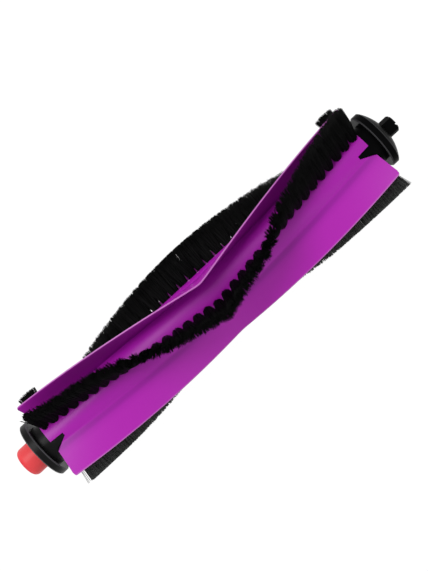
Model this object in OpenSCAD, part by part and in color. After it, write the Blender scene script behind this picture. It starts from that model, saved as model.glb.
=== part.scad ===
// Roller brush of a robot vacuum cleaner. A black core on a steel shaft carries three
// V-shaped rows of bristle tufts, and a soft purple sleeve over it has three V-shaped
// wiper fins. A drive stub is at one end and a free-turning bearing cap at the other.
// The brush lies along X on its bristle tips, as it comes to rest on a floor: on the
// middle of one row and on both ends of the next.

/* [Core and sleeve] */
// Length of the soft sleeve, and of the core between the end caps
sleeve_l = 157; // [130:1:180]
// Outer diameter of the sleeve's tube
sleeve_d = 17.8; // [16.4:0.2:20]
// Diameter of the core under the sleeve
core_d = 14.8; // [14:0.2:15.6]

/* [Fins] */
// Diameter over the fin tips
fin_d = 38.1; // [34:0.1:40]
// Thickness of a fin at its root
fin_root_t = 1.6; // [1.2:0.1:2.2]
// Thickness of a fin at its tip
fin_tip_t = 0.6; // [0.4:0.1:1]
// Blend of the fin's front face into the tube
fin_fillet = 0.5; // [0.2:0.1:0.8]
// Angle that a fin leans forward from root to tip
fin_lean = 37; // [20:1:45]
// Angle that a fin turns back from the middle of the brush to each end
fin_twist = 52; // [30:1:60]
// Radius of a fin's outer corners
fin_corner_r = 1.4; // [0.6:0.1:2.4]
// Length by which a fin's tip stands out past the sleeve's end
fin_flare = 1.3; // [0.4:0.1:2]

/* [Sleeve notches] */
// Depth of the notch beside each fin root at the sleeve's ends
notch_depth = 5.5; // [3:0.1:8]
// Width of the notch at its mouth
notch_mouth = 4.3; // [3:0.1:5]
// Width of the notch's blunt tip
notch_tip = 1.3; // [0.6:0.1:2]
// Sideways shift of the notch's tip
notch_skew = 1.1; // [0:0.1:1.5]

/* [Bristles] */
// Diameter over the bristle tips
brush_d = 42.4; // [41:0.2:48]
// Diameter of a tuft where it leaves the sleeve
tuft_root_d = 3.2; // [2.4:0.1:3.6]
// Diameter of a tuft at its trimmed tips
tuft_tip_d = 4.6; // [3.6:0.1:4.6]
// Distance between tufts along the brush
tuft_pitch = 4.5; // [4.5:0.1:6]
// Angle that a row turns back from the middle of the brush to its end tufts
row_twist = 69.5; // [60:0.5:80]
// Depth of a tuft in the sleeve and core
tuft_depth = 4.3; // [3.4:0.1:4.4]
// Length, width and thickness of the metal anchor under a tuft
anchor_l = 2.3; // [1.6:0.1:2.4]
anchor_w = 1; // [0.6:0.1:1.2]
anchor_t = 0.4; // [0.2:0.1:0.5]

/* [End caps] */
// Width and diameter of the collar beside the sleeve
collar_w = 3.5; // [2:0.1:6]
collar_d = 16.8; // [15.8:0.2:17.6]
// Width and diameter of the rim that keeps hair off the bearings
rim_w = 3; // [2:0.1:5]
rim_d = 23.4; // [20:0.2:28]
// Chamfer on the rim's edges
rim_chamfer = 0.4; // [0.2:0.1:0.8]
// Length and width across flats of the six-sided spigot in the core's end
spigot_l = 8; // [5:0.5:12]
spigot_w = 7; // [6.4:0.1:7.2]

/* [Drive stub] */
// Height of the domed face outside the rim
dome_h = 3.6; // [2:0.1:5]
// Length of the square stub beyond the dome
stub_l = 4.3; // [3:0.1:8]
// Width of the stub across its flats
stub_w = 6.2; // [5:0.1:8]
// Chamfer on the stub's long edges
stub_chamfer = 1.34; // [0.6:0.02:1.5]
// Width and depth of the crossed grooves in the stub's end
groove_w = 1.2; // [0.8:0.1:1.6]
groove_depth = 0.6; // [0.3:0.1:1]

/* [Shaft] */
// Diameter of the steel shaft in the core
shaft_d = 5; // [4.6:0.1:5.1]
// Length of the shaft's shoulder outside the rim
shoulder_l = 1.25; // [0.8:0.05:2]
// Length that the shaft reaches into the drive end cap
shaft_reach = 5.5; // [3:0.5:7]
// Clearance of the journal in the bearing
slip_fit = 0.02; // [0.01:0.01:0.04]

/* [Ball bearing] */
// Bore, outer diameter and width of the bearing
bearing_bore = 4; // [3.8:0.1:4]
bearing_d = 9; // [8.8:0.1:9.4]
bearing_w = 4; // [3.6:0.1:4.4]
// Diameter and number of the balls
ball_d = 1.588; // [1.5:0.004:1.6]
balls = 7; // [5:1:8]
// Clearance between a ball and its raceways
ball_fit = 0.026; // [0.01:0.002:0.04]
// Thickness of the bearing's shields
shield_t = 0.2; // [0.1:0.05:0.3]
// Clearance of the shields round the inner ring
shield_fit = 0.1; // [0.05:0.01:0.1]

/* [Bearing cap] */
// Diameter and length of the soft red cap
cap_d = 11.8; // [11:0.1:14]
cap_l = 7.6; // [7:0.1:9]
// Gap between the cap and the rim
cap_gap = 0.3; // [0.2:0.05:0.6]
// Radius of the cap's outer edge
cap_edge_r = 2.2; // [1:0.1:2.6]
// Width of the lip that holds the bearing in the cap
cap_lip = 0.6; // [0.3:0.1:0.8]

/* [Hidden] */
$fn = 48;
purple = "#a335a6";
black = "#16171a";
bristle_black = "#1d1e20";
red = "#e8525c";
steel = "#b9bcc0";

// Rows and fins both repeat three times round the core
copies = 3;
copy_angle = 360 / copies;
// Overrun of every cut past the face that it opens
overrun = 1;

// A row's middle and ends stand at equal angles from straight down, which sets the
// height of the axis and the angle of every row
row_mid_angle = row_twist / 2;
rest_angle = (copy_angle - row_twist) / 2;
axis_h = brush_d / 2 * cos(rest_angle) + tuft_tip_d / 2 * sin(rest_angle);
rim_face = sleeve_l / 2 + collar_w + rim_w;
cap_reach = rim_face + cap_gap + cap_l;
stub_reach = rim_face + dome_h + stub_l;

// The last tuft leaves this much sleeve at the end
tuft_edge = 0.3;
half_tufts = floor((sleeve_l / 2 - tuft_root_d / 2 - tuft_edge) / tuft_pitch);
row_reach = half_tufts * tuft_pitch;
tuft_foot = sleeve_d / 2 - tuft_depth;
tuft_flare = (tuft_tip_d - tuft_root_d) / (brush_d - sleeve_d);
// The single tuft at each end stands behind the first fin
guard_angle = -113;

// Angle of the first fin's root at the middle of the brush
fin_angle = -47.25;
fin_slices = 16;
// Places along a fin, as shares of its length, where its front face has points, and the
// share of the root's blend at each
fin_face_shares = [0.17, 0.28, 0.4];
fin_blend_shares = [1, 0.3, 0];
// Share of its length by which a fin's back face starts inside the tube
fin_start_share = 0.06;
// Share of its length over which a fin's tip is rounded
fin_nose_share = 0.012;
// The notch's centre lies this far behind the fin's root
notch_angle = -2;

pitch_r = (bearing_bore + bearing_d) / 4;
race_r = ball_d / 2 + ball_fit;
// Rings and cage are set out from the balls' circle
land_gap = 0.6;
inner_land_r = pitch_r - land_gap;
outer_land_r = pitch_r + land_gap;
cage_t = 0.6;
cage_w = 2.4;
shield_seat = 0.1;
bearing_z = -(rim_face + shoulder_l + slip_fit);
journal_l = bearing_w + land_gap;
cap_floor = cap_gap + cap_l - shoulder_l - slip_fit - bearing_w;
cap_recess = cap_floor / 2;
cap_lip_bore = bearing_d - cap_lip;

function tuft_r(at) = tuft_root_d / 2 + (at - sleeve_d / 2) * tuft_flare;
function row_angle(row, z) = row_mid_angle + row * copy_angle - row_twist * abs(z) / row_reach;

// A fin's outline is set out from its back face, which runs straight from the tube's
// surface to the tip
fin_root = [sleeve_d / 2, 0];
fin_tip = fin_d / 2 * [cos(fin_lean), sin(fin_lean)];
fin_run = fin_tip - fin_root;
fin_normal = [-fin_run[1], fin_run[0]] / norm(fin_run);
// Each half of a fin is drawn on past the sleeve's end, to its flared tip, and keeps turning
fin_half_l = sleeve_l / 2 + fin_flare;
fin_half_twist = fin_twist * fin_half_l / (sleeve_l / 2);
function fin_t(share) = fin_root_t + (fin_tip_t - fin_root_t) * share;
function fin_point(share, lift) = fin_root + fin_run * share + fin_normal * lift;

// Turns a piece drawn round +Z, with angle zero along +X, to lie along +X with
// angle zero upwards, and lifts it off the floor
module on_axis() {
    translate([(cap_reach - stub_reach) / 2, 0, axis_h])
        rotate([180, 0, 0]) rotate([0, 90, 0]) children();
}

module both_ends() {
    children();
    mirror([0, 0, 1]) children();
}

module each_copy() {
    for (i = [0 : copies - 1]) rotate([0, 0, i * copy_angle]) children();
}

// Stands a child drawn along +Z radially at an angle and a place on the axis
module radially(angle, z) {
    rotate([0, 0, angle]) translate([0, 0, z]) rotate([0, 90, 0]) children();
}

module tube(h, d, bore) {
    difference() {
        cylinder(h = h, d = d);
        translate([0, 0, -overrun]) cylinder(h = h + 2 * overrun, d = bore);
    }
}

// Bristles

module tuft_body(from, to) {
    translate([0, 0, from]) cylinder(h = to - from, r1 = tuft_r(from), r2 = tuft_r(to));
}

module tuft() {
    tuft_body(tuft_foot, brush_d / 2);
}

module tuft_hole() {
    tuft_body(tuft_foot - anchor_t, sleeve_d / 2 + overrun);
}

module anchor() {
    translate([-anchor_w / 2, -anchor_l / 2, tuft_foot - anchor_t])
        cube([anchor_w, anchor_l, anchor_t]);
}

module along_row(row) {
    for (k = [-half_tufts : half_tufts])
        radially(row_angle(row, k * tuft_pitch), k * tuft_pitch) children();
}

module at_guards() {
    for (side = [-1, 1]) radially(guard_angle, side * row_reach) children();
}

module at_tufts() {
    for (row = [0 : copies - 1]) along_row(row) children();
    at_guards() children();
}

module sleeve_hole() {
    translate([0, 0, core_d / 2 - overrun])
        cylinder(h = (sleeve_d - core_d) / 2 + 2 * overrun, d = tuft_root_d);
}

module bristle_row(row) {
    color(bristle_black) on_axis() along_row(row) tuft();
}

module guard_tufts() {
    color(bristle_black) on_axis() at_guards() tuft();
}

module tuft_anchors(row) {
    color(steel) on_axis() along_row(row) anchor();
}

module guard_anchors() {
    color(steel) on_axis() at_guards() anchor();
}

// Sleeve with fins

module fin_outline() {
    polygon(concat(
        [
            fin_point(-fin_start_share, 0),
            fin_point(1 - fin_nose_share, 0),
            fin_point(1, fin_tip_t / 4),
            fin_point(1, fin_tip_t * 3 / 4),
            fin_point(1 - fin_nose_share, fin_tip_t)
        ],
        [for (i = [len(fin_face_shares) - 1 : -1 : 0])
            fin_point(fin_face_shares[i], fin_t(fin_face_shares[i]) + fin_fillet * fin_blend_shares[i])],
        [fin_point(0, fin_root_t)]
    ));
}

module half_fins() {
    each_copy() rotate([0, 0, fin_angle])
        linear_extrude(height = fin_half_l, twist = fin_half_twist, slices = fin_slices, segments = 0)
            fin_outline();
}

// Ring that cuts the fins' ends to a slant, which stands out furthest at the tips, and
// rounds their corners
module fin_end_cut() {
    bore_r = core_d / 2;
    start_r = sleeve_d / 2 + fin_fillet;
    slope = fin_flare / (fin_d / 2 - start_r);
    slant = [-slope, 1] / norm([slope, 1]);
    centre_r = fin_d / 2 - fin_corner_r;
    centre_z = sleeve_l / 2 + (centre_r - start_r) * slope - fin_corner_r / slant[1];
    rotate_extrude() difference() {
        polygon([
            [bore_r, sleeve_l / 2 - (start_r - bore_r) * slope],
            [centre_r + fin_corner_r * slant[0], centre_z + fin_corner_r * slant[1]],
            [centre_r, centre_z],
            [fin_d / 2 + overrun, centre_z],
            [fin_d / 2 + overrun, fin_half_l + overrun],
            [bore_r, fin_half_l + overrun]
        ]);
        translate([centre_r, centre_z]) circle(fin_corner_r);
    }
}

// One side of the notch, at a place measured from the sleeve's end
function notch_side(at, side) =
    [at, side * notch_mouth / 2 + (side * (notch_tip - notch_mouth) / 2 - notch_skew) * at / notch_depth];

module notch_form(mouth_overrun, r_from, r_to) {
    each_copy() radially(fin_angle - fin_twist + notch_angle, sleeve_l / 2)
        translate([0, 0, r_from]) linear_extrude(height = r_to - r_from) polygon([
            notch_side(-mouth_overrun, -1),
            notch_side(notch_depth, -1),
            notch_side(notch_depth, 1),
            notch_side(-mouth_overrun, 1)
        ]);
}

module end_notches() {
    both_ends() notch_form(overrun, core_d / 2 - overrun, sleeve_d / 2 + fin_root_t);
}

module sleeve() {
    color(purple) on_axis() {
        difference() {
            translate([0, 0, -sleeve_l / 2]) tube(sleeve_l, sleeve_d, core_d);
            end_notches();
            at_tufts() sleeve_hole();
        }
        difference() {
            both_ends() half_fins();
            both_ends() fin_end_cut();
            end_notches();
        }
    }
}

// Core and shaft

module spigot_form(length) {
    rotate([0, 0, 30]) cylinder(h = length, d = spigot_w / cos(30), $fn = 6);
}

module core() {
    color(black) on_axis() difference() {
        translate([0, 0, -sleeve_l / 2]) cylinder(h = sleeve_l, d = core_d);
        translate([0, 0, -sleeve_l / 2 - overrun]) cylinder(h = sleeve_l + 2 * overrun, d = shaft_d);
        both_ends() translate([0, 0, sleeve_l / 2 - spigot_l]) spigot_form(spigot_l + overrun);
        at_tufts() tuft_hole();
    }
}

module shaft() {
    inner_end = sleeve_l / 2 - spigot_l + shaft_reach;
    color(steel) on_axis() {
        translate([0, 0, -rim_face - shoulder_l])
            cylinder(h = rim_face + shoulder_l + inner_end, d = shaft_d);
        translate([0, 0, -rim_face - shoulder_l - journal_l])
            cylinder(h = journal_l + overrun, r = bearing_bore / 2 - slip_fit);
    }
}

// End caps

// Collar, rim and spigot that both end caps share, drawn at the +Z end
module cap_base() {
    translate([0, 0, sleeve_l / 2 - spigot_l]) spigot_form(spigot_l + overrun);
    translate([0, 0, sleeve_l / 2]) cylinder(h = collar_w + overrun, d = collar_d);
    translate([0, 0, sleeve_l / 2 + collar_w]) rotate_extrude() polygon([
        [0, 0],
        [rim_d / 2 - rim_chamfer, 0],
        [rim_d / 2, rim_chamfer],
        [rim_d / 2, rim_w - rim_chamfer],
        [rim_d / 2 - rim_chamfer, rim_w],
        [0, rim_w]
    ]);
    intersection() {
        translate([0, 0, sleeve_l / 2 - notch_depth])
            tube(notch_depth + collar_w / 2, collar_d, core_d);
        notch_form(collar_w / 2, core_d / 4, collar_d);
    }
}

module dome() {
    base_r = rim_d / 2 - rim_chamfer;
    ball_r = (base_r * base_r + dome_h * dome_h) / (2 * dome_h);
    intersection() {
        translate([0, 0, rim_face + dome_h - ball_r]) sphere(r = ball_r, $fn = 96);
        translate([0, 0, rim_face - rim_w / 2]) cylinder(h = rim_w / 2 + dome_h, r = base_r);
    }
}

module stub() {
    flat = stub_w / 2;
    side = flat - stub_chamfer;
    corner_r = norm([flat, side]);
    difference() {
        intersection() {
            linear_extrude(height = stub_reach) polygon([
                [flat, -side], [flat, side], [side, flat], [-side, flat],
                [-flat, side], [-flat, -side], [-side, -flat], [side, -flat]
            ]);
            union() {
                cylinder(h = stub_reach - groove_depth, r = corner_r + overrun);
                translate([0, 0, stub_reach - groove_depth])
                    cylinder(h = groove_depth, r1 = corner_r, r2 = corner_r - groove_depth);
            }
        }
        cylinder(h = rim_face, r = corner_r + overrun);
        for (turn = [0, 90]) rotate([0, 0, turn])
            translate([-stub_w, -groove_w / 2, stub_reach - groove_depth])
                cube([2 * stub_w, groove_w, groove_depth + overrun]);
    }
}

// The stub's corner stands this far round from straight up
stub_angle = -16;

module drive_end_cap() {
    color(black) on_axis() difference() {
        union() {
            cap_base();
            dome();
            rotate([0, 0, stub_angle + 45]) stub();
        }
        translate([0, 0, sleeve_l / 2 - spigot_l - overrun])
            cylinder(h = shaft_reach + overrun, d = shaft_d);
        at_guards() tuft_hole();
    }
}

module bearing_end_cap() {
    color(black) on_axis() difference() {
        mirror([0, 0, 1]) cap_base();
        translate([0, 0, -rim_face - overrun])
            cylinder(h = rim_w + collar_w + spigot_l + 2 * overrun, d = shaft_d);
        at_guards() tuft_hole();
    }
}

// Ball bearing, drawn from its inboard face towards -Z

module at_bearing() {
    on_axis() translate([0, 0, bearing_z - bearing_w]) children();
}

module raceway() {
    translate([0, 0, bearing_w / 2]) rotate_extrude() translate([pitch_r, 0]) circle(race_r);
}

module bearing_inner_ring() {
    color(steel) at_bearing() difference() {
        tube(bearing_w, 2 * inner_land_r, bearing_bore);
        raceway();
    }
}

module shield_space(z) {
    translate([0, 0, z]) tube(shield_t, 2 * (outer_land_r + shield_seat), 2 * (inner_land_r + shield_fit));
}

module bearing_outer_ring() {
    color(steel) at_bearing() difference() {
        tube(bearing_w, bearing_d, 2 * outer_land_r);
        raceway();
        shield_space(0);
        shield_space(bearing_w - shield_t);
    }
}

module bearing_shield_inboard() {
    color(steel) at_bearing() shield_space(bearing_w - shield_t);
}

module bearing_shield_outboard() {
    color(steel) at_bearing() shield_space(0);
}

module at_balls() {
    for (i = [0 : balls - 1])
        rotate([0, 0, i * 360 / balls]) translate([pitch_r, 0, bearing_w / 2]) children();
}

module bearing_balls() {
    color(steel) at_bearing() at_balls() sphere(d = ball_d);
}

module bearing_cage() {
    color("tan") at_bearing() difference() {
        translate([0, 0, (bearing_w - cage_w) / 2])
            tube(cage_w, 2 * pitch_r + cage_t, 2 * pitch_r - cage_t);
        at_balls() rotate([0, 90, 0]) cylinder(h = 2 * cage_t, d = ball_d, center = true);
    }
}

// Soft cap over the bearing

module bearing_cap() {
    seat_z = bearing_w + cap_floor;
    color(red) on_axis() translate([0, 0, -cap_reach]) difference() {
        rotate_extrude() {
            translate([0, cap_edge_r]) square([cap_d / 2, cap_l - cap_edge_r]);
            square([cap_d / 2 - cap_edge_r, cap_l]);
            intersection() {
                translate([cap_d / 2 - cap_edge_r, cap_edge_r]) circle(cap_edge_r);
                square([cap_d / 2, cap_edge_r]);
            }
        }
        translate([0, 0, cap_floor]) cylinder(h = bearing_w, d = bearing_d);
        translate([0, 0, cap_floor - cap_recess])
            cylinder(h = cap_recess + overrun, r = outer_land_r);
        translate([0, 0, seat_z - overrun]) cylinder(h = cap_l, d = cap_lip_bore);
    }
}

core();
shaft();
sleeve();
drive_end_cap();
bearing_end_cap();
bristle_row(0);  // bristle_row_1
bristle_row(1);  // bristle_row_2
bristle_row(2);  // bristle_row_3
guard_tufts();
tuft_anchors(0);  // tuft_anchors_1
tuft_anchors(1);  // tuft_anchors_2
tuft_anchors(2);  // tuft_anchors_3
guard_anchors();
bearing_inner_ring();
bearing_outer_ring();
bearing_balls();
bearing_cage();
bearing_shield_inboard();
bearing_shield_outboard();
bearing_cap();
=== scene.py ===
# %% [markdown]
# A roller brush from a robot vacuum cleaner. It is a tube of soft purple rubber with three
# V-shaped wiper fins, three V-shaped rows of black bristle tufts, black end caps and a
# soft red cap on its bearing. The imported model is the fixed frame: it gives the place
# and size of every piece, and this script gives the looks.

# %% Load the frame
import math
import bmesh
import bpy
from mathutils import Matrix, Vector


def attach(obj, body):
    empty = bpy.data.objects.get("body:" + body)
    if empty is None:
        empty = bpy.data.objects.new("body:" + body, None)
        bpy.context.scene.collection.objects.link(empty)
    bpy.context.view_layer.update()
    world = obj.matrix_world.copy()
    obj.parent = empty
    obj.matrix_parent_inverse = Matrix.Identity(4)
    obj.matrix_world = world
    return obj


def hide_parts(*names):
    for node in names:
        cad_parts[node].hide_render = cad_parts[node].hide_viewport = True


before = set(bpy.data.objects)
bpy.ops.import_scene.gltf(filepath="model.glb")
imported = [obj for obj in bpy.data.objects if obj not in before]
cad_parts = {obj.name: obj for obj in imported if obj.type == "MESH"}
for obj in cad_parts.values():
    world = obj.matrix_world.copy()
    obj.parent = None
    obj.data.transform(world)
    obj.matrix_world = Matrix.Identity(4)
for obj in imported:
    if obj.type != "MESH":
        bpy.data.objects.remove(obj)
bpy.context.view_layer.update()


# %% [markdown]
# All sizes are the part's own, in metres. The axis runs along X at a height that lets the
# brush lie on its bristle tips. An angle round the axis is zero straight up and grows
# towards -Y, the side that faces the viewer.

# %% Sizes of the brush
AXIS_Z = 0.020155
SLEEVE_L = 0.157
SLEEVE_R = 0.0089
CORE_R = 0.0074
FIN_R = 0.01905
FIN_ROOT_T = 0.0016
FIN_TIP_T = 0.0006
FIN_BLEND = 0.0005
FIN_LEAN = math.radians(37)
FIN_TWIST = math.radians(52)
FIN_ANGLE = math.radians(-47.25)
FIN_CORNER = 0.0014
FIN_FLARE = 0.0013
FIN_CREASE = 0.0016
TRIM_R = 0.0212
TUFT_FOOT_R = 0.0046
TUFTS = 35
TUFT_PITCH = 0.0045
ROW_TWIST = math.radians(69.5)
ROW_REACH = (TUFTS - 1) / 2 * TUFT_PITCH
GUARD_ANGLE = math.radians(-113)


def on_brush(x, angle, radius):
    """The point at a place along the axis, an angle round it and a distance from it."""
    return Vector((x, -radius * math.sin(angle), AXIS_Z + radius * math.cos(angle)))


print("row reach", round(ROW_REACH * 1000, 1), "mm; fin tip circle", round(FIN_R * 2000, 1), "mm")

# %% [markdown]
# The camera comes first, because every later choice is judged through it. The photograph
# looks almost straight down from 380 mm above the axis, and the brush crosses the frame
# from lower left to upper right. A view from that near gives the slight widening of the
# rows in the middle of the picture.

# %% Camera
VIEW_ANGLE = math.radians(4.75)
VIEW_ROLL = math.radians(43)
VIEW_DISTANCE = 0.38
FOCAL_PX = 1027
FRAME_H_PX = 571

back = Vector((0, -math.sin(VIEW_ANGLE), math.cos(VIEW_ANGLE)))
along = Vector((1, 0, 0))
across = back.cross(along)
right = along * math.cos(VIEW_ROLL) - across * math.sin(VIEW_ROLL)
up = along * math.sin(VIEW_ROLL) + across * math.cos(VIEW_ROLL)
looked_at = Vector((0.0033, 0.0011, AXIS_Z))

camera_data = bpy.data.cameras.new("photo_camera")
camera_data.sensor_width = 36
camera_data.lens = FOCAL_PX / FRAME_H_PX * camera_data.sensor_width
camera = bpy.data.objects.new("photo_camera", camera_data)
camera.matrix_world = Matrix.Translation(looked_at + back * VIEW_DISTANCE) @ Matrix(
    (right, up, back)).transposed().to_4x4()
camera_data.clip_start, camera_data.clip_end = 0.01, 10
bpy.context.scene.collection.objects.link(camera)
bpy.context.scene.camera = camera
bpy.context.scene.view_settings.view_transform = "Standard"
print("camera lens", round(camera_data.lens, 1), "mm,",
      round(camera.location.z * 1000), "mm above the floor")

# %% [markdown]
# The light is that of a small studio: one large soft lamp above the upper left of the
# picture, a weaker one opposite, and a pale world. The floor is plain and pale. To the
# camera it glows a little as well, so that it reads as white and its shadow stays faint.

# %% Light and floor
def soft_lamp(name, place, aim, size, power):
    """A round area lamp that points at a place."""
    data = bpy.data.lights.new(name, "AREA")
    data.shape, data.size, data.energy = "DISK", size, power
    lamp = bpy.data.objects.new(name, data)
    lamp.location = place
    lamp.rotation_euler = (Vector(aim) - Vector(place)).to_track_quat("-Z", "Y").to_euler()
    bpy.context.scene.collection.objects.link(lamp)


LAMPS = {
    "key_lamp": ((-0.22, 0.29, 0.62), 0.36, 2.6),
    "fill_lamp": ((0.30, -0.55, 0.45), 0.6, 0.6),
}
for name, (place, size, power) in LAMPS.items():
    soft_lamp(name, place, (0, 0, AXIS_Z), size, power)


def feed(tree, socket, value):
    """Links another node's output to a socket, or sets a plain value on it."""
    if hasattr(value, "links"):
        tree.links.new(value, socket)
    else:
        socket.default_value = value


def math_node(tree, operation, a, b=None, c=None):
    """A Math node, with sockets or numbers as its inputs. Returns its output."""
    node = tree.nodes.new("ShaderNodeMath")
    node.operation = operation
    for i, value in enumerate((a, b, c)):
        if value is not None:
            feed(tree, node.inputs[i], value)
    return node.outputs[0]


def seen_directly(tree):
    """One for rays from the camera and for those that a shiny or clear surface sends on."""
    rays = tree.nodes.new("ShaderNodeLightPath")
    sharp = [rays.outputs[f"Is {kind} Ray"] for kind in ("Camera", "Glossy", "Transmission")]
    return math_node(tree, "MAXIMUM", math_node(tree, "MAXIMUM", sharp[0], sharp[1]), sharp[2])


WORLD_LIGHT = 0.55
world = bpy.data.worlds.new("studio")
bpy.context.scene.world = world
world.use_nodes = True
sky = world.node_tree.nodes["Background"]
sky.inputs["Color"].default_value = (1, 1, 1, 1)
sky_strength = math_node(
    world.node_tree, "MULTIPLY_ADD", seen_directly(world.node_tree), 1 - WORLD_LIGHT, WORLD_LIGHT)
world.node_tree.links.new(sky_strength, sky.inputs["Strength"])


def new_material(name):
    """A material with an empty tree, its output and one Principled shader."""
    made = bpy.data.materials.new(name)
    made.use_nodes = True
    made.node_tree.nodes.clear()
    out = made.node_tree.nodes.new("ShaderNodeOutputMaterial")
    shader = made.node_tree.nodes.new("ShaderNodeBsdfPrincipled")
    made.node_tree.links.new(shader.outputs[0], out.inputs["Surface"])
    return made, made.node_tree, shader


FLOOR_HALF = 1.5
FLOOR_GLOW = 1.06
FLOOR_GLOW_SHARE = 0.92
floor_paint, tree, shader = new_material("pale_floor")
shader.inputs["Base Color"].default_value = (0.86, 0.86, 0.86, 1)
shader.inputs["Roughness"].default_value = 0.9
glow = tree.nodes.new("ShaderNodeEmission")
mix = tree.nodes.new("ShaderNodeMixShader")
glow_share = math_node(tree, "MULTIPLY", seen_directly(tree), FLOOR_GLOW_SHARE)
tree.links.new(glow_share, mix.inputs["Fac"])
tree.links.new(shader.outputs[0], mix.inputs[1])
tree.links.new(glow.outputs[0], mix.inputs[2])
tree.links.new(mix.outputs[0], tree.nodes["Material Output"].inputs["Surface"])
glow.inputs["Strength"].default_value = FLOOR_GLOW

floor_mesh = bpy.data.meshes.new("floor")
floor_mesh.from_pydata(
    [(x * FLOOR_HALF, y * FLOOR_HALF, 0) for x, y in ((-1, -1), (1, -1), (1, 1), (-1, 1))],
    [], [(0, 1, 2, 3)])
floor_mesh.materials.append(floor_paint)
floor = bpy.data.objects.new("floor", floor_mesh)
bpy.context.scene.collection.objects.link(floor)
print("lamps", len(LAMPS), "and a pale floor")

# %% [markdown]
# Soft rubber has a satin skin with faint cloudy patches, and its thin edges are painted
# paler as a painted highlight of the light they catch. Both the purple sleeve and the red
# cap have this, so the effect is one node group that each material uses with its own
# colours. The purple is also painted darker in the creases at the fins' roots, as painted
# shade where the light hardly reaches.

# %% Rubber skin group
def shader_group(name, inputs, outputs):
    """A shader node group with its sockets. Returns it with its two end nodes."""
    group = bpy.data.node_groups.new(name, "ShaderNodeTree")
    for way, sockets in (("INPUT", inputs), ("OUTPUT", outputs)):
        for label, kind in sockets.items():
            group.interface.new_socket(name=label, in_out=way, socket_type="NodeSocket" + kind)
    return group, group.nodes.new("NodeGroupInput"), group.nodes.new("NodeGroupOutput")


def noise(tree, vector, scale, detail=3.0):
    """The value of a Noise texture, with its scale in waves to the metre."""
    node = tree.nodes.new("ShaderNodeTexNoise")
    node.inputs["Scale"].default_value = scale
    node.inputs["Detail"].default_value = detail
    tree.links.new(vector, node.inputs["Vector"])
    return node.outputs["Fac"]


def colour_mix(tree, fac, a, b):
    """A colour between a and b, which are sockets or plain colours."""
    node = tree.nodes.new("ShaderNodeMix")
    node.data_type = "RGBA"
    tree.links.new(fac, node.inputs["Factor"])
    feed(tree, node.inputs["A"], a)
    feed(tree, node.inputs["B"], b)
    return node.outputs["Result"]


SKIN_OUTPUTS = {"Colour": "Color", "Roughness": "Float", "Height": "Float"}


def rubber_skin_group():
    """Cloudy rubber with a fine grain and a painted highlight on its edges."""
    group, ins, outs = shader_group("rubber_skin", {
        "Position": "Vector", "Colour": "Color", "Cloud Colour": "Color", "Edge Highlight Colour": "Color",
        "Edge": "Float"}, SKIN_OUTPUTS)
    cloud = noise(group, ins.outputs["Position"], 55)
    grain = noise(group, ins.outputs["Position"], 2200, 2)
    tinted = colour_mix(
        group, math_node(group, "MULTIPLY", cloud, 0.5), ins.outputs["Colour"],
        ins.outputs["Cloud Colour"])
    # painted highlight: the thin edges are mixed towards the edge highlight colour
    edge_highlighted = colour_mix(group, ins.outputs["Edge"], tinted, ins.outputs["Edge Highlight Colour"])
    group.links.new(edge_highlighted, outs.inputs["Colour"])
    group.links.new(math_node(group, "MULTIPLY_ADD", cloud, 0.12, 0.34), outs.inputs["Roughness"])
    group.links.new(math_node(group, "MULTIPLY_ADD", cloud, 0.5, grain), outs.inputs["Height"])
    return group


RUBBER_SKIN = rubber_skin_group()
print("rubber skin group:", len(RUBBER_SKIN.nodes), "nodes")

# %% Purple sleeve and red cap rubber
def axis_distance(tree, position):
    """Distance of the shaded point from the brush's axis."""
    parts = tree.nodes.new("ShaderNodeSeparateXYZ")
    tree.links.new(position, parts.inputs[0])
    height = math_node(tree, "SUBTRACT", parts.outputs["Z"], AXIS_Z)
    sideways = math_node(tree, "POWER", parts.outputs["Y"], 2)
    return math_node(tree, "SQRT", math_node(tree, "MULTIPLY_ADD", height, height, sideways))


def band(tree, value, low, high):
    """Zero below low, one above high and smooth between them."""
    node = tree.nodes.new("ShaderNodeMapRange")
    node.interpolation_type = "SMOOTHSTEP"
    tree.links.new(value, node.inputs["Value"])
    node.inputs["From Min"].default_value, node.inputs["From Max"].default_value = low, high
    return node.outputs["Result"]


def add_relief(tree, shader, height, distance, strength):
    """A fine relief, by a Bump node that feeds the shader's normal."""
    lift = tree.nodes.new("ShaderNodeBump")
    lift.inputs["Distance"].default_value = distance
    lift.inputs["Strength"].default_value = strength
    tree.links.new(height, lift.inputs["Height"])
    tree.links.new(lift.outputs[0], shader.inputs["Normal"])


def rubber(name, deep, colour, cloud, edge, thin_band, edge_band, relief, gloss, crease=None):
    """Soft rubber. Each band is two distances from the axis, and its mask rises between
    them. The crease is a rising band, a falling band and the painted shade colour between them."""
    made, tree, shader = new_material(name)
    place = tree.nodes.new("ShaderNodeTexCoord").outputs["Object"]
    far = axis_distance(tree, place)
    skin = tree.nodes.new("ShaderNodeGroup")
    skin.node_tree = RUBBER_SKIN
    skin.inputs["Cloud Colour"].default_value = cloud
    skin.inputs["Edge Highlight Colour"].default_value = edge
    tint = colour_mix(tree, band(tree, far, *thin_band), deep, colour)
    # painted shade: the crease at the fins' roots is mixed towards a darker colour
    if crease is not None:
        inner, outer, shade = crease
        crease_shade_mask = math_node(
            tree, "SUBTRACT", band(tree, far, *inner), band(tree, far, *outer))
        tint = colour_mix(tree, crease_shade_mask, tint, shade)
    tree.links.new(tint, skin.inputs["Colour"])
    tree.links.new(place, skin.inputs["Position"])
    tree.links.new(band(tree, far, *edge_band), skin.inputs["Edge"])
    tree.links.new(skin.outputs["Colour"], shader.inputs["Base Color"])
    tree.links.new(skin.outputs["Roughness"], shader.inputs["Roughness"])
    add_relief(tree, shader, skin.outputs["Height"], relief, 0.4)
    shader.inputs["Specular IOR Level"].default_value = gloss
    return made


# The edge colour paints the fin tips paler as a painted highlight, and the crease paints the fins'
# roots darker as painted shade.
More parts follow.
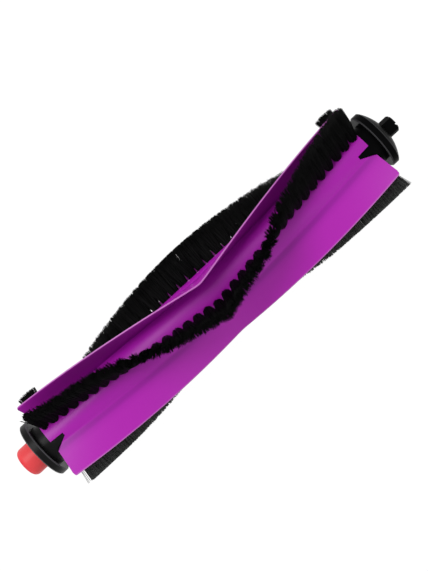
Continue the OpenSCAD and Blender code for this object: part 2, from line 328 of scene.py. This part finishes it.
purple_rubber = rubber(
    "purple_rubber", deep=(0.38, 0.008, 0.39, 1), colour=(0.46, 0.014, 0.45, 1),
    cloud=(0.40, 0.010, 0.40, 1), edge=(0.52, 0.15, 0.50, 1),
    thin_band=(0.0092, 0.0125), edge_band=(0.0184, 0.0190), relief=0.00004, gloss=0.25,
    crease=((0.00885, 0.0094), (0.0096, 0.0108), (0.29, 0.005, 0.31, 1)))
# The edge colour paints the rim of the cap paler as a painted highlight.
red_rubber = rubber(
    "red_rubber", deep=(0.75, 0.026, 0.042, 1), colour=(0.77, 0.03, 0.046, 1),
    cloud=(0.72, 0.02, 0.038, 1), edge=(0.80, 0.068, 0.076, 1),
    thin_band=(0.0030, 0.0050), edge_band=(0.0052, 0.0060), relief=0.00005, gloss=0.2)
print("rubbers:", purple_rubber.name, red_rubber.name)

# %% [markdown]
# The sleeve's shape follows one rule: a fixed section, a tube with three leaning fins,
# turns back by 52 degrees from the middle to each end. So Geometry Nodes sweep the
# section along the axis and turn each station by its distance from the middle. The
# section itself is a closed outline drawn point by point.

# %% Section of the sleeve
FRONT_SHARES = (0, 0.02, 0.05, 0.1, 0.18, 0.28, 0.4, 0.52, 0.64, 0.76, 0.88, 0.96, 0.985)
TIP_POINTS = ((0.997, 0.15), (1, 0.5), (0.997, 0.85))
REAR_SHARES = (0.985, 0.96, 0.9, 0.8, 0.7, 0.6, 0.5, 0.44, 0.38, 0.34, 0.3, 0.27, 0.24, 0.21,
               0.18, 0.15, 0.12)
ARC_STEPS = 26


def fin_points():
    """Outline of one third of the section, from one fin's root to just before the next."""
    root = Vector((SLEEVE_R, 0))
    run = FIN_R * Vector((math.cos(FIN_LEAN), math.sin(FIN_LEAN))) - root
    normal = Vector((-run.y, run.x)).normalized()
    points = [root + run * s for s in FRONT_SHARES]
    points += [root + run * s + normal * FIN_TIP_T * t for s, t in TIP_POINTS]
    for share in REAR_SHARES:
        thick = FIN_ROOT_T + (FIN_TIP_T - FIN_ROOT_T) * share
        blend = FIN_BLEND * max(0, 1 - (share - 0.1) / 0.34) ** 2
        point = root + run * share + normal * (thick + blend)
        if point.length <= SLEEVE_R:
            break
        points.append(point)
    start, stop = math.atan2(points[-1].y, points[-1].x), math.radians(120)
    arc = [start + (stop - start) * k / ARC_STEPS for k in range(1, ARC_STEPS)]
    return points + [SLEEVE_R * Vector((math.cos(a), math.sin(a))) for a in arc]


third = fin_points()
outline = [Matrix.Rotation(math.radians(120 * i), 2) @ p for i in range(3) for p in third]
section = bpy.data.meshes.new("sleeve_section")
section.from_pydata([(p.y, -p.x, 0) for p in outline],
                    [(i, (i + 1) % len(outline)) for i in range(len(outline))], [])
print("section outline:", len(outline), "points")

# %% Tree that sweeps and turns the section
class TreeMaker:
    """Adds nodes to a tree, with sockets or plain values as their inputs."""

    def __init__(self, name):
        self.tree = bpy.data.node_groups.new(name, "GeometryNodeTree")

    def socket(self, name, kind, way="INPUT"):
        self.tree.interface.new_socket(name=name, in_out=way, socket_type=kind)

    def add(self, kind, inputs=None, **settings):
        node = self.tree.nodes.new(kind)
        for key, value in settings.items():
            setattr(node, key, value)
        for key, value in (inputs or {}).items():
            feed(self.tree, node.inputs[key], value)
        return node

    def calc(self, operation, *values):
        node = self.add("ShaderNodeMath", dict(enumerate(values)), operation=operation)
        return node.outputs[0]

    def vector(self, operation, *values):
        node = self.add("ShaderNodeVectorMath", dict(enumerate(values)), operation=operation)
        return node.outputs[0]

    def length(self, value):
        node = self.add("ShaderNodeVectorMath", {0: value}, operation="LENGTH")
        return node.outputs["Value"]

    def scaled(self, value, scale):
        node = self.add("ShaderNodeVectorMath", {0: value, "Scale": scale}, operation="SCALE")
        return node.outputs[0]

    def xyz(self, x=0.0, y=0.0, z=0.0):
        return self.add("ShaderNodeCombineXYZ", {0: x, 1: y, 2: z}).outputs[0]


END_CROWDING = 0.35


def finned_tube_tree():
    """Sweeps a section along X, turns it and shapes the fins' ends."""
    maker = TreeMaker("finned_tube")
    calc = maker.calc
    maker.socket("Section", "NodeSocketGeometry")
    for name in ("Length", "Twist", "Middle Angle", "Crease Radius", "Axis Height",
                 "Corner Radius", "Fin Radius", "Flare", "Flare Radius"):
        maker.socket(name, "NodeSocketFloat")
    maker.socket("Stations", "NodeSocketInt")
    maker.socket("Material", "NodeSocketMaterial")
    maker.socket("Tube", "NodeSocketGeometry", "OUTPUT")
    ins = maker.add("NodeGroupInput").outputs
    half = calc("MULTIPLY", ins["Length"], 0.5)
    line = maker.add("GeometryNodeCurvePrimitiveLine", {
        "Start": maker.xyz(calc("MULTIPLY", half, -1.0)), "End": maker.xyz(half)})
    path = maker.add("GeometryNodeResampleCurve", {
        "Curve": line.outputs[0], "Count": ins["Stations"]})
    profile = maker.add("GeometryNodeMeshToCurve", {"Mesh": ins["Section"]})
    swept = maker.add("GeometryNodeCurveToMesh", {
        "Curve": path.outputs[0], "Profile Curve": profile.outputs[0], "Fill Caps": True})
    place = maker.add("GeometryNodeInputPosition").outputs[0]
    even_x = maker.add("ShaderNodeSeparateXYZ", {0: place}).outputs["X"]
    # the stations crowd towards the ends, where the corners are
    place_share = calc("DIVIDE", even_x, half)
    crowding = calc("MULTIPLY_ADD", calc("MULTIPLY", place_share, place_share),
                    -END_CROWDING, 1 + END_CROWDING)
    x = calc("MULTIPLY", even_x, crowding)
    far = maker.length(maker.vector("MULTIPLY", place, (0.0, 1.0, 1.0)))
    # near the ends the tip circle shrinks, which rounds the fins' corners
    corner = ins["Corner Radius"]
    to_end = calc("SUBTRACT", half, calc("ABSOLUTE", x))
    inside = calc("MAXIMUM", calc("SUBTRACT", corner, to_end), 0.0)
    square = calc("SUBTRACT", calc("MULTIPLY", corner, corner), calc("MULTIPLY", inside, inside))
    fall = calc("SUBTRACT", corner, calc("SQRT", calc("MAXIMUM", square, 0.0)))
    near = calc("MINIMUM", far, calc("SUBTRACT", ins["Fin Radius"], fall))
    shrink = calc("DIVIDE", near, calc("MAXIMUM", far, 0.001))
    # a fin is longer at its tip than at its root, so its ends slant outwards
    past_root = calc("SUBTRACT", near, ins["Flare Radius"])
    fin_height = calc("SUBTRACT", ins["Fin Radius"], ins["Flare Radius"])
    outness = calc("MAXIMUM", calc("DIVIDE", past_root, fin_height), 0.0)
    stretch = calc("ADD", 1.0, calc("DIVIDE", calc("MULTIPLY", ins["Flare"], outness), half))
    long_x = calc("MULTIPLY", x, stretch)
    # a small radius rounds the crease where the two halves meet
    reach = calc("SQRT", calc(
        "ADD", calc("MULTIPLY", long_x, long_x),
        calc("MULTIPLY", ins["Crease Radius"], ins["Crease Radius"])))
    turn = calc("MULTIPLY", calc("DIVIDE", reach, half), ins["Twist"])
    angle = calc("SUBTRACT", ins["Middle Angle"], turn)
    shaped = maker.vector("MULTIPLY", place, maker.xyz(
        calc("MULTIPLY", stretch, crowding), shrink, shrink))
    turned = maker.add("ShaderNodeVectorRotate", {
        "Vector": shaped, "Center": (0.0, 0.0, 0.0), "Angle": angle},
        rotation_type="X_AXIS").outputs[0]
    lifted = maker.vector("ADD", turned, maker.xyz(0.0, 0.0, ins["Axis Height"]))
    moved = maker.add("GeometryNodeSetPosition", {
        "Geometry": swept.outputs[0], "Position": lifted})
    real = maker.add("GeometryNodeRealizeInstances", {"Geometry": moved.outputs[0]})
    painted = maker.add("GeometryNodeSetMaterial", {
        "Geometry": real.outputs[0], "Material": ins["Material"]})
    maker.add("NodeGroupOutput", {"Tube": painted.outputs[0]})
    return maker.tree


finned_tube = finned_tube_tree()
print("finned tube tree:", len(finned_tube.nodes), "nodes")

# %% Helpers that run a tree and keep a plain mesh
def set_inputs(modifier, values):
    """Sets a Geometry Nodes modifier's inputs, found by name, through their identifiers."""
    sockets = modifier.node_group.interface.items_tree
    known = {s.name: s.identifier for s in sockets if s.in_out == "INPUT"}
    for name, value in values.items():
        modifier[known[name]] = value


def grown(name, mesh, tree, values):
    """An object whose mesh a Geometry Nodes tree makes."""
    made = bpy.data.objects.new(name, mesh)
    bpy.context.scene.collection.objects.link(made)
    modifier = made.modifiers.new("nodes", "NODES")
    modifier.node_group = tree
    set_inputs(modifier, values)
    return made


def plain(source, name):
    """A new object with the evaluated mesh of the source, which is then removed."""
    evaluated = source.evaluated_get(bpy.context.evaluated_depsgraph_get())
    mesh = bpy.data.meshes.new_from_object(evaluated)
    mesh.name = name
    bpy.data.objects.remove(source)
    made = bpy.data.objects.new(name, mesh)
    bpy.context.scene.collection.objects.link(made)
    triangles = sum(len(p.vertices) - 2 for p in mesh.polygons)
    print(name, len(mesh.vertices), "points,", triangles, "triangles")
    return made


# %% [markdown]
# The bore and the six notches at the sleeve's ends are cut from the swept form with
# Boolean modifiers. The cutters are simple prisms and are deleted afterwards. A notch
# stands beside each fin root, and a tooth of the black end cap fills it.

# %% Cutters
NOTCH_DEPTH, NOTCH_MOUTH, NOTCH_TIP, NOTCH_SKEW = 0.0055, 0.0043, 0.0013, 0.0011
NOTCH_FLOOR_R = 0.0045
NOTCH_ANGLE = FIN_ANGLE - FIN_TWIST + math.radians(-2)
CUT_PAST = 0.002


def prism(name, sides):
    """A closed prism for each pair of matching point lists."""
    made = bmesh.new()
    for low, high in sides:
        a, b = [made.verts.new(p) for p in low], [made.verts.new(p) for p in high]
        made.faces.new(a)
        made.faces.new(b)
        for i in range(len(a)):
            made.faces.new((a[i - 1], a[i], b[i], b[i - 1]))
    bmesh.ops.recalc_face_normals(made, faces=made.faces)
    mesh = bpy.data.meshes.new(name)
    made.to_mesh(mesh)
    made.free()
    cutter = bpy.data.objects.new(name, mesh)
    bpy.context.scene.collection.objects.link(cutter)
    return cutter


def notch_sides():
    """The lower and the upper outline of each notch cutter."""
    slope = (NOTCH_TIP - NOTCH_MOUTH) / 2 / NOTCH_DEPTH
    shift = -NOTCH_SKEW / NOTCH_DEPTH
    shape = [(at, side * (NOTCH_MOUTH / 2 + slope * at) + shift * at)
             for at, side in ((-CUT_PAST, -1), (NOTCH_DEPTH, -1), (NOTCH_DEPTH, 1), (-CUT_PAST, 1))]
    for end in (-1, 1):
        for i in range(3):
            angle = NOTCH_ANGLE + math.radians(120 * i)
            outward = Vector((0, -math.sin(angle), math.cos(angle)))
            sideways = Vector((0, -math.cos(angle), -math.sin(angle)))
            yield [[Vector((end * (SLEEVE_L / 2 - at), 0, AXIS_Z)) + sideways * w + outward * r
                    for at, w in shape] for r in (NOTCH_FLOOR_R, SLEEVE_R + FIN_ROOT_T)]


BORE_SIDES = 120
BORE_GAP = 0.00002
bore_ring = [math.radians(360 / BORE_SIDES * k) for k in range(BORE_SIDES)]
bore_half = SLEEVE_L / 2 + CUT_PAST
bore_cutter = prism("bore_cutter", [[[on_brush(x, a, CORE_R + BORE_GAP) for a in bore_ring]
                                     for x in (-bore_half, bore_half)]])
notch_cutter = prism("notch_cutter", list(notch_sides()))
print("cutters:", bore_cutter.name, notch_cutter.name)

# %% Purple sleeve
SLEEVE_STATIONS = 315
SLEEVE_SHARP_ANGLE = math.radians(38)
raw_sleeve = grown("raw_sleeve", section, finned_tube, {
    "Length": SLEEVE_L, "Twist": FIN_TWIST, "Middle Angle": FIN_ANGLE, "Crease Radius": FIN_CREASE,
    "Axis Height": AXIS_Z, "Corner Radius": FIN_CORNER, "Fin Radius": FIN_R, "Flare": FIN_FLARE,
    "Flare Radius": SLEEVE_R + FIN_BLEND, "Stations": SLEEVE_STATIONS,
    "Material": purple_rubber})
for cutter in (bore_cutter, notch_cutter):
    cut = raw_sleeve.modifiers.new(cutter.name, "BOOLEAN")
    cut.object, cut.operation, cut.solver = cutter, "DIFFERENCE", "EXACT"
finned_sleeve = plain(raw_sleeve, "finned_sleeve")
for cutter in (bore_cutter, notch_cutter):
    bpy.data.objects.remove(cutter)
finned_sleeve.data.shade_smooth()
finned_sleeve.data.set_sharp_from_angle(angle=SLEEVE_SHARP_ANGLE)
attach(finned_sleeve, "roller")
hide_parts("sleeve")

# %% [markdown]
# Each tuft is a bundle of nylon filaments folded over a metal anchor in its hole, so it
# leaves the hole as a tight round bundle and fans out along the row until it meets its
# neighbours. The rows are trimmed to one circle. A tree places the tufts on their V,
# copies a filament for each place in the bundle, points it from foot to tip, and bends
# the outer part back a little, as brushing does. A tuft at the end of a row has no
# neighbour on one side, so it splays there, and a few of its filaments stand loose. A thin
# three-sided filament is enough, because no one sees its section.

# %% Tree of a bristle row
LEAN_STATIONS = (-0.95, -0.6, -0.28, 0.0, 0.3, 0.5, 0.95)
LEAN_NAMES = [f"Lean {k + 1}" for k in range(len(LEAN_STATIONS))]
WILD_ALONG, WILD_ACROSS = 0.1, 0.12
FILAMENT_SIDES, FILAMENT_STEPS, FILAMENT_TAPER = 3, 3, 0.7


def bristle_row_tree():
    """A row of tufts on its V, made of bent filaments."""
    maker = TreeMaker("bristle_row")
    for name in ("Pitch", "Middle Angle", "Row Twist", "Foot Radius", "Trim Radius",
                 "Free Radius", "Axis Height", "Foot Along", "Foot Across", "Tip Along",
                 "Tip Across", "End Left", "End Right", "Loose Share", "Loose Reach",
                 *LEAN_NAMES, "Lean Spread", "Tuft Spread", "Filament Radius", "Trim Scatter"):
        maker.socket(name, "NodeSocketFloat")
    for name in ("Tufts", "Filaments", "Seed"):
        maker.socket(name, "NodeSocketInt")
    maker.socket("Material", "NodeSocketMaterial")
    maker.socket("Row", "NodeSocketGeometry", "OUTPUT")
    ins = maker.add("NodeGroupInput").outputs
    calc, vector, xyz = maker.calc, maker.vector, maker.xyz

    def chance(low, high, key=None, step=0):
        """A random number for each filament, or for each value of key."""
        inputs = {"Seed": calc("ADD", ins["Seed"], float(step))}
        if key is not None:
            inputs["ID"] = key
        node = maker.add("FunctionNodeRandomValue", inputs, data_type="FLOAT")
        floats = [s for s in node.inputs if s.type == "VALUE"]
        for socket, value in zip(floats, (low, high)):
            feed(maker.tree, socket, value)
        return next(s for s in node.outputs if s.type == "VALUE")

    def either_way(most, key=None, step=0):
        """A random number between -most and most."""
        return chance(calc("MULTIPLY", most, -1.0), most, key, step)

    index = maker.add("GeometryNodeInputIndex").outputs[0]
    row_length = calc("MULTIPLY", calc("SUBTRACT", ins["Tufts"], 1.0), ins["Pitch"])
    reach = calc("MULTIPLY", row_length, 0.5)
    tuft_x = calc("SUBTRACT", calc("MULTIPLY", index, ins["Pitch"]), reach)
    holes = maker.add("GeometryNodePoints", {"Count": ins["Tufts"], "Position": xyz(tuft_x)})
    bundle = maker.add("GeometryNodeDuplicateElements", {
        "Geometry": holes.outputs[0], "Amount": ins["Filaments"]}, domain="POINT")

    place = maker.add("GeometryNodeInputPosition").outputs[0]
    x = maker.add("ShaderNodeSeparateXYZ", {0: place}).outputs["X"]
    number = calc("ROUND", calc("DIVIDE", calc("ADD", x, reach), ins["Pitch"]))
    angle = calc("SUBTRACT", ins["Middle Angle"], calc(
        "MULTIPLY", ins["Row Twist"], calc("DIVIDE", calc("ABSOLUTE", x), reach)))
    minus_sine, cosine = calc("MULTIPLY", calc("SINE", angle), -1.0), calc("COSINE", angle)
    outward = xyz(0.0, minus_sine, cosine)
    sideways = xyz(0.0, calc("MULTIPLY", cosine, -1.0), minus_sine)

    # the lean changes along the row, from station to station
    x_share = calc("DIVIDE", x, reach)
    lean = ins[LEAN_NAMES[0]]
    for k in range(1, len(LEAN_STATIONS)):
        ramp = maker.add("ShaderNodeMapRange", {
            "Value": x_share, "From Min": LEAN_STATIONS[k - 1], "From Max": LEAN_STATIONS[k]},
            interpolation_type="SMOOTHSTEP").outputs["Result"]
        change = calc("SUBTRACT", ins[LEAN_NAMES[k]], ins[LEAN_NAMES[k - 1]])
        lean = calc("MULTIPLY_ADD", ramp, change, lean)

    # place of the filament in the round bundle
    way, far = chance(0.0, 2 * math.pi, step=1), calc("SQRT", chance(0.0, 1.0, step=2))
    u, w = calc("MULTIPLY", calc("COSINE", way), far), calc("MULTIPLY", calc("SINE", way), far)
    wild_u = chance(-WILD_ALONG, WILD_ALONG, step=3)
    wild_w = chance(-WILD_ACROSS, WILD_ACROSS, step=4)
    tuft_u = either_way(ins["Tuft Spread"], number, 5)
    tuft_w = either_way(ins["Tuft Spread"], number, 6)

    # the outer half of an end tuft has no neighbour and splays by its own amount,
    # and a few of its filaments stand loose
    last = calc("SUBTRACT", reach, calc("MULTIPLY", ins["Pitch"], 0.5))
    is_left = calc("LESS_THAN", x, calc("MULTIPLY", last, -1.0))
    left = calc("MULTIPLY", is_left, calc("MINIMUM", u, 0.0))
    right = calc("MULTIPLY", calc("GREATER_THAN", x, last), calc("MAXIMUM", u, 0.0))
    loose = calc("LESS_THAN", chance(0.0, 1.0, step=10), ins["Loose Share"])
    for half, end in ((left, ins["End Left"]), (right, ins["End Right"])):
        splay = calc("MULTIPLY_ADD", loose, calc("SUBTRACT", ins["Loose Reach"], end), end)
        tuft_u = calc("MULTIPLY_ADD", half, splay, tuft_u)

    def spot(radius, along, across, shift_u=None, shift_w=None):
        """A filament's place at a distance from the axis. A shift makes it a wild one."""
        a, b = calc("MULTIPLY", u, along), calc("MULTIPLY", w, across)
        if shift_u is not None:
            a = calc("ADD", calc("MULTIPLY_ADD", wild_u, along, a), shift_u)
            b = calc("ADD", calc("MULTIPLY_ADD", wild_w, across, b), shift_w)
        straight = calc("SQRT", calc(
            "SUBTRACT", calc("MULTIPLY", radius, radius), calc("MULTIPLY", b, b)))
        radial, side = maker.scaled(outward, straight), maker.scaled(sideways, b)
        return vector("ADD", vector("ADD", radial, side), xyz(a))

    shorter = chance(calc("MULTIPLY", ins["Trim Scatter"], -1.0), 0.0, step=7)
    trim = calc("ADD", ins["Trim Radius"], shorter)
    foot = spot(ins["Foot Radius"], ins["Foot Along"], ins["Foot Across"])
    tip = spot(trim, ins["Tip Along"], ins["Tip Across"], tuft_u, tuft_w)
    foot_to_tip = vector("SUBTRACT", tip, foot)
    keep = maker.add("GeometryNodeCaptureAttribute", domain="POINT")
    maker.tree.links.new(bundle.outputs[0], keep.inputs["Geometry"])
    for kind, name, value in (
            ("VECTOR", "Direction", foot_to_tip),
            ("FLOAT", "Length", maker.length(foot_to_tip)),
            ("FLOAT", "Bend", calc("ADD", lean, either_way(ins["Lean Spread"], step=8))),
            ("FLOAT", "Tone", chance(0.0, 1.0, step=9))):
        keep.capture_items.new(kind, name)
        maker.tree.links.new(value, keep.inputs[name])
    centre = xyz(0.0, 0.0, ins["Axis Height"])
    rooted = maker.add("GeometryNodeSetPosition", {
        "Geometry": keep.outputs["Geometry"], "Offset": vector("ADD", foot, centre)})

    filament = maker.add("GeometryNodeMeshCone", {
        "Vertices": FILAMENT_SIDES, "Side Segments": FILAMENT_STEPS,
        "Radius Bottom": ins["Filament Radius"],
        "Radius Top": calc("MULTIPLY", ins["Filament Radius"], FILAMENT_TAPER), "Depth": 1.0})
    aim = maker.add("FunctionNodeAlignRotationToVector", {
        "Vector": keep.outputs["Direction"]}, axis="Z").outputs[0]
    copies = maker.add("GeometryNodeInstanceOnPoints", {
        "Points": rooted.outputs[0], "Instance": filament.outputs["Mesh"], "Rotation": aim,
        "Scale": xyz(1.0, 1.0, keep.outputs["Length"])})
    toned = maker.add("GeometryNodeStoreNamedAttribute", {
        "Geometry": copies.outputs[0], "Name": "tone", "Value": keep.outputs["Tone"]},
        data_type="FLOAT", domain="INSTANCE")
    real = maker.add("GeometryNodeRealizeInstances", {"Geometry": toned.outputs[0]})

    # outside the sleeve the filament bends back round the axis
    here = maker.add("GeometryNodeInputPosition").outputs[0]
    spoke = vector("MULTIPLY", vector("SUBTRACT", here, centre), (0.0, 1.0, 1.0))
    past_sleeve = calc("SUBTRACT", maker.length(spoke), ins["Free Radius"])
    free_length = calc("SUBTRACT", ins["Trim Radius"], ins["Free Radius"])
    share = calc("MAXIMUM", calc("DIVIDE", past_sleeve, free_length), 0.0)
    bend = calc("MULTIPLY", keep.outputs["Bend"], calc("MULTIPLY", share, share))
    bent = maker.add("ShaderNodeVectorRotate", {"Vector": here, "Center": centre, "Angle": bend},
                     rotation_type="X_AXIS").outputs[0]
    moved = maker.add("GeometryNodeSetPosition", {"Geometry": real.outputs[0], "Position": bent})
    painted = maker.add("GeometryNodeSetMaterial", {
        "Geometry": moved.outputs[0], "Material": ins["Material"]})
    maker.add("NodeGroupOutput", {"Row": painted.outputs[0]})
    return maker.tree


bristle_row = bristle_row_tree()
print("bristle row tree:", len(bristle_row.nodes), "nodes")

# %% Nylon filament material
def nylon(name, dark, light, gloss):
    """Nylon between a dark and a light tone. Each filament has its own tone."""
    made, tree, shader = new_material(name)
    tone = tree.nodes.new("ShaderNodeAttribute")
    tone.attribute_name = "tone"
    place = tree.nodes.new("ShaderNodeTexCoord").outputs["Object"]
    patch = noise(tree, place, 400, 2)
    mixed = colour_mix(tree, math_node(tree, "MULTIPLY", tone.outputs["Fac"], patch), dark, light)
    tree.links.new(mixed, shader.inputs["Base Color"])
    roughness = math_node(tree, "MULTIPLY_ADD", tone.outputs["Fac"], 0.2, 0.42)
    tree.links.new(roughness, shader.inputs["Roughness"])
    shader.inputs["Specular IOR Level"].default_value = gloss
    return made


black_nylon = nylon("black_nylon", dark=(0.0015, 0.0015, 0.0016, 1),
                    light=(0.006, 0.006, 0.006, 1), gloss=0.06)
# Row 2 is the same black nylon, set lighter as painted light for the light that its side-on
# filaments catch.
painted_lit_nylon = nylon("painted_lit_nylon", dark=(0.04, 0.042, 0.04, 1),
                   light=(0.14, 0.145, 0.14, 1), gloss=0.15)
print("nylons:", black_nylon.name, painted_lit_nylon.name)

# %% Bristle rows
ROW_LOOK = {
    "Foot Radius": TUFT_FOOT_R, "Trim Radius": TRIM_R, "Free Radius": SLEEVE_R,
    "Axis Height": AXIS_Z, "Foot Along": 0.0010, "Foot Across": 0.0015,
    "Tip Along": 0.0038, "Tip Across": 0.0019, "Lean Spread": math.radians(0.9),
    "Tuft Spread": 0.00012, "Filament Radius": 0.00013, "Trim Scatter": 0.0002,
    "Loose Share": 0.1, "Loose Reach": -0.0008,
    "Filaments": 284}


def bristle_piece(name, node, material, **own):
    """One row of bristles, or the pair of guard tufts, in place of its CAD node."""
    seed_mesh = bpy.data.meshes.new("seed_" + name)
    values = {**ROW_LOOK, **own, "Material": material}
    made = plain(grown("seed_" + name, seed_mesh, bristle_row, values), name)
    made.data.shade_smooth()
    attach(made, "roller")
    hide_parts(node)


ROW_MIDDLE = ROW_TWIST / 2
# degrees at each station and metres at both ends, for the three rows and the guard tufts
LEANS = (
    (3.5, -4.2, 2, -1, 1, -10, -12.5),
    (-2, -2, -2, -2, -4.5, -6, 0),
    (-1, -1.5, -2, -2, -2, -1.5, -1),
    (3.5, 4, 4, 5, 6, 7, 7))
END_SPLAY = ((-0.0020, -0.0006), (-0.0028, 0.0012), (0.0, 0.0), (0.0004, 0.0004))


def own_look(i):
    """The lean at each station and the splay at both ends of one row."""
    look = {name: math.radians(lean) for name, lean in zip(LEAN_NAMES, LEANS[i])}
    return {**look, "End Left": END_SPLAY[i][0], "End Right": END_SPLAY[i][1]}


# Row 2 takes the lighter nylon, which is painted light.
for i, row_nylon in enumerate((black_nylon, painted_lit_nylon, black_nylon)):
    bristle_piece(f"bristles_{i + 1}", f"bristle_row_{i + 1}", row_nylon,
                  Tufts=TUFTS, Pitch=TUFT_PITCH, Seed=11 + 20 * i, **own_look(i),
                  **{"Middle Angle": ROW_MIDDLE + math.radians(120 * i), "Row Twist": ROW_TWIST})
bristle_piece("guard_bristles", "guard_tufts", black_nylon, Tufts=2, Pitch=2 * ROW_REACH, Seed=90,
              **own_look(3), **{"Middle Angle": GUARD_ANGLE, "Row Twist": 0.0})

# %% [markdown]
# The end caps are black mouldings, glossy at the drive end and satin beside the bearing.
# Beside the bearing the colours are also set a little lighter, as painted light. A fine
# moulded grain and small scuffs break up the reflections, and the two edges of each rim
# are painted paler as a painted highlight, which a mask by distance from the axis and
# along it picks out. The core, which only shows inside the notches, is matt. Steel pieces
# have the fine rings that turning leaves.

# %% Moulded plastic group
def moulded_group():
    """Moulded plastic with a fine grain, smears and scuffs."""
    group, ins, outs = shader_group("moulded_plastic", {
        "Position": "Vector", "Colour": "Color", "Scuff Colour": "Color",
        "Base Roughness": "Float"}, SKIN_OUTPUTS)
    grain = noise(group, ins.outputs["Position"], 1800, 2)
    smear = noise(group, ins.outputs["Position"], 130)
    scuffs = band(group, noise(group, ins.outputs["Position"], 420, 5), 0.62, 0.75)
    scuffed = colour_mix(
        group, math_node(group, "MULTIPLY", scuffs, 0.35), ins.outputs["Colour"],
        ins.outputs["Scuff Colour"])
    roughness = math_node(group, "MULTIPLY_ADD", smear, 0.16, ins.outputs["Base Roughness"])
    group.links.new(scuffed, outs.inputs["Colour"])
    group.links.new(roughness, outs.inputs["Roughness"])
    group.links.new(grain, outs.inputs["Height"])
    return group


MOULDED = moulded_group()
print("moulded plastic group:", len(MOULDED.nodes), "nodes")

# %% Black plastics and the cage's nylon
RIM_R = 0.0117
RIM_EDGES = (0.0822, 0.0848)
RIM_EDGE_W = 0.0002


def rim_edge_highlight(tree, position):
    """One on both edges of an end cap's rim, where a painted highlight goes."""
    parts = tree.nodes.new("ShaderNodeSeparateXYZ")
    tree.links.new(position, parts.inputs[0])
    along = math_node(tree, "ABSOLUTE", parts.outputs["X"])
    rings = [math_node(tree, "COMPARE", along, at, RIM_EDGE_W) for at in RIM_EDGES]
    outside = math_node(
        tree, "GREATER_THAN", axis_distance(tree, position), RIM_R - 3 * RIM_EDGE_W)
    return math_node(tree, "MULTIPLY", math_node(tree, "MAXIMUM", *rings), outside)


def moulded(name, colour, scuff, roughness, relief, gloss=0.5, rim_highlight=None):
    """Moulded plastic. The rim highlight colour is a painted highlight on the rim's edges."""
    made, tree, shader = new_material(name)
    skin = tree.nodes.new("ShaderNodeGroup")
    skin.node_tree = MOULDED
    skin.inputs["Colour"].default_value = colour
    skin.inputs["Scuff Colour"].default_value = scuff
    skin.inputs["Base Roughness"].default_value = roughness
    shader.inputs["Specular IOR Level"].default_value = gloss
    place = tree.nodes.new("ShaderNodeTexCoord").outputs["Object"]
    tree.links.new(place, skin.inputs["Position"])
    tint = skin.outputs["Colour"]
    if rim_highlight is not None:
        # painted highlight: the rim's edges are mixed towards the rim highlight colour
        tint = colour_mix(tree, rim_edge_highlight(tree, place), tint, rim_highlight)
    tree.links.new(tint, shader.inputs["Base Color"])
    tree.links.new(skin.outputs["Roughness"], shader.inputs["Roughness"])
    add_relief(tree, shader, skin.outputs["Height"], relief, 0.3)
    return made


glossy_black = moulded(
    "glossy_black", colour=(0.0025, 0.0025, 0.0027, 1), scuff=(0.012, 0.012, 0.0125, 1),
    roughness=0.2, relief=0.00002, gloss=0.01, rim_highlight=(0.045, 0.045, 0.047, 1))
# The bearing end's cap is satin, and its colours are set a little lighter than the drive end's as
# painted light for the light that falls on that end, with a brighter painted rim highlight.
lit_satin_black = moulded(
    "lit_satin_black", colour=(0.003, 0.003, 0.0032, 1), scuff=(0.016, 0.016, 0.017, 1),
    roughness=0.3, relief=0.00002, gloss=0.1, rim_highlight=(0.07, 0.07, 0.074, 1))
matt_black = moulded(
    "matt_black", colour=(0.003, 0.003, 0.0032, 1), scuff=(0.012, 0.012, 0.013, 1),
    roughness=0.5, relief=0.00003, gloss=0.04)
cage_nylon = moulded(
    "cage_nylon", colour=(0.55, 0.44, 0.28, 1), scuff=(0.62, 0.52, 0.36, 1),
    roughness=0.4, relief=0.00002)
print("plastics:", *(m.name for m in (glossy_black, lit_satin_black, matt_black, cage_nylon)))

# %% Turned steel
def turned_steel(name, colour, rings):
    """Steel with turned rings, which are radians to the metre from the axis."""
    made, tree, shader = new_material(name)
    place = tree.nodes.new("ShaderNodeTexCoord").outputs["Object"]
    wave = math_node(tree, "SINE", math_node(tree, "MULTIPLY", axis_distance(tree, place), rings))
    streak = noise(tree, place, 900, 4)
    duller = (*(0.75 * c for c in colour[:3]), 1)
    tree.links.new(colour_mix(tree, streak, colour, duller), shader.inputs["Base Color"])
    roughness = math_node(tree, "MULTIPLY_ADD", streak, 0.2, 0.2)
    tree.links.new(roughness, shader.inputs["Roughness"])
    add_relief(tree, shader, wave, 0.00001, 0.3)
    shader.inputs["Metallic"].default_value = 1.0
    return made


shaft_steel = turned_steel("shaft_steel", (0.6, 0.6, 0.62, 1), 60000)
bearing_steel = turned_steel("bearing_steel", (0.68, 0.68, 0.7, 1), 90000)
print("steels:", shaft_steel.name, bearing_steel.name)

# %% Materials for the carried-over nodes
FINISH = {
    "drive_end_cap": glossy_black, "bearing_end_cap": lit_satin_black, "core": matt_black,
    "bearing_cap": red_rubber, "shaft": shaft_steel, "bearing_cage": cage_nylon}
for name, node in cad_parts.items():
    finish = FINISH.get(name)
    if finish is None and "bearing" in name:
        finish = bearing_steel
    if finish is None and "anchor" in name:
        finish = shaft_steel
    if finish is not None:
        node.data.materials.clear()
        node.data.materials.append(finish)
        print(name, "->", finish.name)
